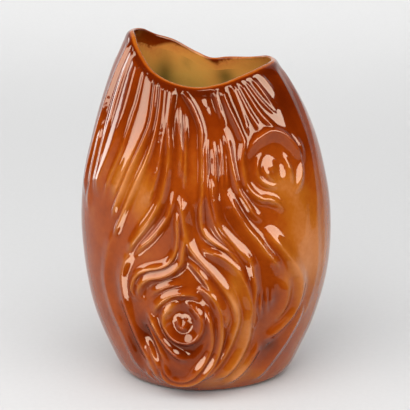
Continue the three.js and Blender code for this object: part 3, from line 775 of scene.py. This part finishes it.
def ochreGlazedEarthenware():
    # Poured liner glaze: smooth and glossy, mottled by the clay that shows through it.
    material = newMaterial("ochre_glazed_earthenware", ochreLook["body"])
    place = addNode(material, "ShaderNodeTexCoord")
    below = addNode(material, "ShaderNodeAttribute", {"attribute_name": "below"})
    paintedShade = addNode(material, "ShaderNodeAttribute", {"attribute_name": "paintedShade"})
    ochre, cloud = ochreColour(material, place, below)
    # painted shade: the ochre turns towards a dark colour in the patches on the far inner wall
    shaded = addNode(material, "ShaderNodeMath", {"operation": "MULTIPLY", "use_clamp": True}, {
        0: paintedShade.outputs["Fac"], 1: ochreLook["paintedShadeAmount"]})
    colour = addNode(material, "ShaderNodeMix", {"data_type": "RGBA"}, {
        "Factor": shaded.outputs["Value"], "A": ochre.outputs["Color"], "B": linear(ochreLook["paintedShade"])})
    bump = addNode(material, "ShaderNodeBump", inputs={
        "Height": cloud.outputs["Fac"], "Strength": ochreLook["waveStrength"],
        "Distance": ochreLook["waveHeight"] / 1000})
    shader = addNode(material, "ShaderNodeBsdfPrincipled", inputs={
        "Base Color": colour.outputs["Result"], "Roughness": ochreLook["roughness"], "IOR": ochreLook["ior"],
        "Normal": bump.outputs["Normal"]})
    addNode(material, "ShaderNodeOutputMaterial", inputs={"Surface": shader.outputs["BSDF"]})
    return material


def bareEarthenware():
    # Biscuit clay where the glaze was wiped off: dry and open, with a fine sandy grain.
    material = newMaterial("bare_earthenware", clayLook["body"])
    place = addNode(material, "ShaderNodeTexCoord")
    grit = addNode(material, "ShaderNodeTexNoise", inputs={
        "Vector": place.outputs["Object"], "Scale": 1000 / clayLook["gritSize"], "Detail": 4})
    colour = addNode(material, "ShaderNodeValToRGB", inputs={"Fac": grit.outputs["Fac"]}, stops=[
        (0.3, clayLook["dark"]), (0.7, clayLook["body"])])
    bump = addNode(material, "ShaderNodeBump", inputs={
        "Height": grit.outputs["Fac"], "Strength": clayLook["gritStrength"],
        "Distance": clayLook["gritHeight"] / 1000})
    shader = addNode(material, "ShaderNodeBsdfPrincipled", inputs={
        "Base Color": colour.outputs["Color"], "Roughness": clayLook["roughness"], "IOR": clayLook["ior"],
        "Normal": bump.outputs["Normal"]})
    addNode(material, "ShaderNodeOutputMaterial", inputs={"Surface": shader.outputs["BSDF"]})
    return material


rustGlaze = rustGlazedEarthenware()
ochreGlaze = ochreGlazedEarthenware()
bareClay = bareEarthenware()

for piece, finish, slotName, nodes in (
    (wall, rustGlaze, "rust_glaze", ("front_wall", "back_wall")),
    (liner, ochreGlaze, "ochre_glaze", ("liner_glaze",)),
    (ring, bareClay, "bare_clay", ("foot_ring",)),
):
    piece.data.materials.append(finish)
    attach(piece, "root")
    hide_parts(*nodes)
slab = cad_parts["floor_slab"]
slab.data.materials.clear()
slab.data.materials.append(bareClay)
print("finishes set")

# Studio: pale paper sweep, large soft boxes and a camera a little above the vase
studio = {
    "paper": "#C4C4C4",
    "paperShade": "#C2C2C2",
    "paperRoughness": 0.9,
    "paperIor": 1.45,
    "pulpSize": 3,  # mm
    "floorRows": (-3000, -1500, 0, 900),  # y of the flat part, from the front to where the paper curves up
    "curveRadius": 600,
    "curveSteps": 12,
    "paperTop": 2600,
    "paperReach": 3000,  # to each side
    "cameraDistance": 850,  # mm from the point it looks at
    "cameraHeight": 16,  # degrees above the horizon
    "aim": (-0.55, 0, 97),
    "lens": 134.87,
    "sensor": 36,
    "boxesFace": (0, 0, 110),  # the point that the soft boxes face
    "backdropLight": ((0, 1150, 700), (0, 1200, 0), (2400, 500), 1.9),  # place, target, size, radiance
    "surround": 0.45,
}

# Name, degrees round from the front (right is positive), degrees up, distance in mm, size in mm (wide, high),
# radiance, and what it reaches: "shine" boxes only show in the glaze, "light" ones only light the set.
softBoxes = [
    ("left_box", -127, 10, 700, (220, 460), 5, "shine"),
    ("key_box", -65, 23.5, 900, (920, 460), 8.5, "shine"),
    ("low_box", -25, -31, 148, (70, 24), 11, "shine"),  # close in front of the lower knot
    ("front_box", 14, 42, 1600, (500, 460), 11, "shine"),
    ("right_box", 57, 25, 1600, (1600, 1150), 10.5, "shine"),
    ("key_light", -42, 38, 1300, (1500, 800), 3.1, "light"),
    ("top_light", 18, 64, 1300, (1600, 1100), 2.5, "light"),
    ("fill_light", 10, 20, 2400, (3000, 1800), 1.5, "light"),
]

# Dark cards in front of the vase, as black flags in a studio. Only the glaze sees them, and they keep its
# front deep and clear. One lies on the floor, the other stands in an arc.
darkCards = {
    "strip": [(-130, 130, -105), (-150, 150, -400), (-300, 340, -960)],  # x from, x to, y
    "stripHeight": 0.6,
    "standFrom": -26,  # degrees round from the front
    "standTo": 88,
    "standSteps": 16,
    "standRadius": 1020,
    "standTop": 325,
    "colour": "#101010",
    "shade": "#0C0C0C",
    "fibreSize": 2,  # mm
}


def mattPaper():
    # Seamless studio paper: matt and even, with a faint pulp mottle.
    material = newMaterial("matt_paper", studio["paper"])
    place = addNode(material, "ShaderNodeTexCoord")
    pulp = addNode(material, "ShaderNodeTexNoise", inputs={
        "Vector": place.outputs["Object"], "Scale": 1000 / studio["pulpSize"], "Detail": 2})
    colour = addNode(material, "ShaderNodeValToRGB", inputs={"Fac": pulp.outputs["Fac"]}, stops=[
        (0.3, studio["paperShade"]), (0.7, studio["paper"])])
    shader = addNode(material, "ShaderNodeBsdfPrincipled", inputs={
        "Base Color": colour.outputs["Color"], "Roughness": studio["paperRoughness"],
        "IOR": studio["paperIor"]})
    addNode(material, "ShaderNodeOutputMaterial", inputs={"Surface": shader.outputs["BSDF"]})
    return material


def blackFelt():
    # Black felt on card: soft fibres that scatter the little light they return, without shine.
    material = newMaterial("black_felt", darkCards["colour"])
    place = addNode(material, "ShaderNodeTexCoord")
    fibre = addNode(material, "ShaderNodeTexNoise", inputs={
        "Vector": place.outputs["Object"], "Scale": 1000 / darkCards["fibreSize"], "Detail": 2})
    colour = addNode(material, "ShaderNodeValToRGB", inputs={"Fac": fibre.outputs["Fac"]}, stops=[
        (0.3, darkCards["shade"]), (0.7, darkCards["colour"])])
    shader = addNode(material, "ShaderNodeBsdfDiffuse", inputs={"Color": colour.outputs["Color"]})
    addNode(material, "ShaderNodeOutputMaterial", inputs={"Surface": shader.outputs["BSDF"]})
    return material


def stripOfPairs(name, points, material):
    # a strip through points in mm that come in pairs, one at each of its edges
    faces = [(i, i + 1, i + 3, i + 2) for i in range(0, len(points) - 2, 2)]
    mesh = bpy.data.meshes.new(name)
    mesh.from_pydata([tuple(v / 1000 for v in point) for point in points], [], faces)
    mesh.materials.append(material)
    return addObject(name, mesh)


def paperSweep():
    # floor that curves up behind the vase into a backdrop
    profile = [(y, 0) for y in studio["floorRows"]]
    flat, radius = studio["floorRows"][-1], studio["curveRadius"]
    for step in range(1, studio["curveSteps"] + 1):
        around = math.radians(90 * step / studio["curveSteps"])
        profile.append((flat + radius * math.sin(around), radius - radius * math.cos(around)))
    profile.append((flat + radius, studio["paperTop"]))
    points = [(x, y, z) for y, z in profile for x in (-studio["paperReach"], studio["paperReach"])]
    sweep = stripOfPairs("paper_sweep", points, mattPaper())
    for polygon in sweep.data.polygons:
        polygon.use_smooth = True


def addDarkCards():
    strip = [(x, y, darkCards["stripHeight"]) for low, high, y in darkCards["strip"] for x in (low, high)]
    stand = []
    for i in range(darkCards["standSteps"] + 1):
        sweep = (darkCards["standTo"] - darkCards["standFrom"]) * i / darkCards["standSteps"]
        turn = math.radians(darkCards["standFrom"] + sweep)
        x, y = darkCards["standRadius"] * math.sin(turn), -darkCards["standRadius"] * math.cos(turn)
        stand += [(x, y, 0), (x, y, darkCards["standTop"])]
    felt = blackFelt()
    for name, points in (("dark_strip", strip), ("dark_stand", stand)):
        card = stripOfPairs(name, points, felt)
        card.visible_camera = False
        card.visible_shadow = False  # nor does it leave a shadow on the paper
        card.visible_diffuse = False


def facing(place, target):
    # turns an object's -Z, which lights and cameras look along, to the target
    return (Vector(target) - Vector(place)).to_track_quat("-Z", "Y").to_matrix().to_4x4()


def addAreaLight(name, place, target, size, radiance):
    # power that gives the lit face this radiance, where white paper in full light is about 1
    light = bpy.data.lights.new(name, "AREA")
    light.shape = "RECTANGLE"
    light.size, light.size_y = size[0] / 1000, size[1] / 1000
    light.energy = radiance * math.pi * light.size * light.size_y
    box = addObject(name, light)
    place, target = [v / 1000 for v in place], [v / 1000 for v in target]
    box.matrix_world = Matrix.Translation(place) @ facing(place, target)
    box.visible_camera = False
    return box


def addBackdropLight():
    # washes the far part of the paper from above
    light = addAreaLight("backdrop_light", *studio["backdropLight"])
    light.visible_glossy = False


def addSoftBox(name, degreesRound, degreesUp, distance, size, radiance, reaches):
    around, up = math.radians(degreesRound), math.radians(degreesUp)
    x, y, z = studio["boxesFace"]
    flat = distance * math.cos(up)
    place = (x + flat * math.sin(around), y - flat * math.cos(around), z + distance * math.sin(up))
    light = addAreaLight(name, place, (x, y, z), size, radiance)
    light.visible_diffuse = reaches == "light"
    light.visible_glossy = reaches == "shine"


def addCamera():
    camera = bpy.data.cameras.new("camera")
    camera.lens = studio["lens"]
    camera.sensor_width = studio["sensor"]
    x, y, z = studio["aim"]
    aim = [(x + footMiddle[0]) / 1000, (y + footMiddle[1]) / 1000, z / 1000]
    up = math.radians(studio["cameraHeight"])
    reach = studio["cameraDistance"] / 1000
    place = [aim[0], aim[1] - reach * math.cos(up), aim[2] + reach * math.sin(up)]
    holder = addObject("camera", camera)
    holder.matrix_world = Matrix.Translation(place) @ facing(place, aim)
    bpy.context.scene.camera = holder


def setSurround():
    world = bpy.data.worlds.new("surround")
    bpy.context.scene.world = world
    world.use_nodes = True
    background = world.node_tree.nodes["Background"]
    background.inputs["Color"].default_value = (1, 1, 1, 1)
    background.inputs["Strength"].default_value = studio["surround"]
    world.cycles_visibility.glossy = False  # only the boxes and the paper show in the glaze


paperSweep()
for softBox in softBoxes:
    addSoftBox(*softBox)
addBackdropLight()
addDarkCards()
addCamera()
setSurround()
bpy.context.scene.view_settings.view_transform = "Standard"
print("studio set")
